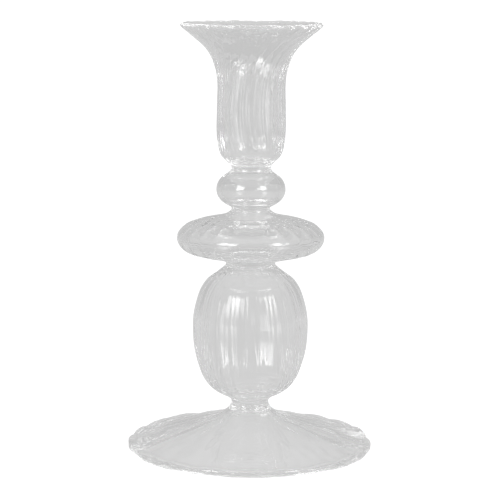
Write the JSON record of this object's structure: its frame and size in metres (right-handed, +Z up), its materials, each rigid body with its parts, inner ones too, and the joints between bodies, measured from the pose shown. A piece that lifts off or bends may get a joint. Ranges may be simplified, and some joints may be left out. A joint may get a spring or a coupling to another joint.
{
  "type": "candlestick",
  "caption": "Clear ribbed glass candlestick: a pleated cone foot, a bulb, a disc and a bead joined by wafers, and a flared cup for a taper candle.",
  "frame": {"origin": "centre of the circle that the foot stands on", "axes": "+Z up along the candlestick's axis; +X and +Y lie in the plane it stands on, and as it is round they point at no feature"},
  "size_m": [0.095, 0.095, 0.1653],
  "materials": {
    "blown_glass": "clear, fire-polished, softly ribbed",
    "wafer_glass": "clear, solid, fire-polished"
  },
  "bodies": {
    "root": {"foot": "blown_glass", "bulb_merese": "wafer_glass", "bulb": "blown_glass", "disc_merese": "wafer_glass", "disc": "blown_glass", "bead_merese": "wafer_glass", "bead": "blown_glass", "cup_merese": "wafer_glass", "candle_cup": "blown_glass"}
  },
  "joints": []
}
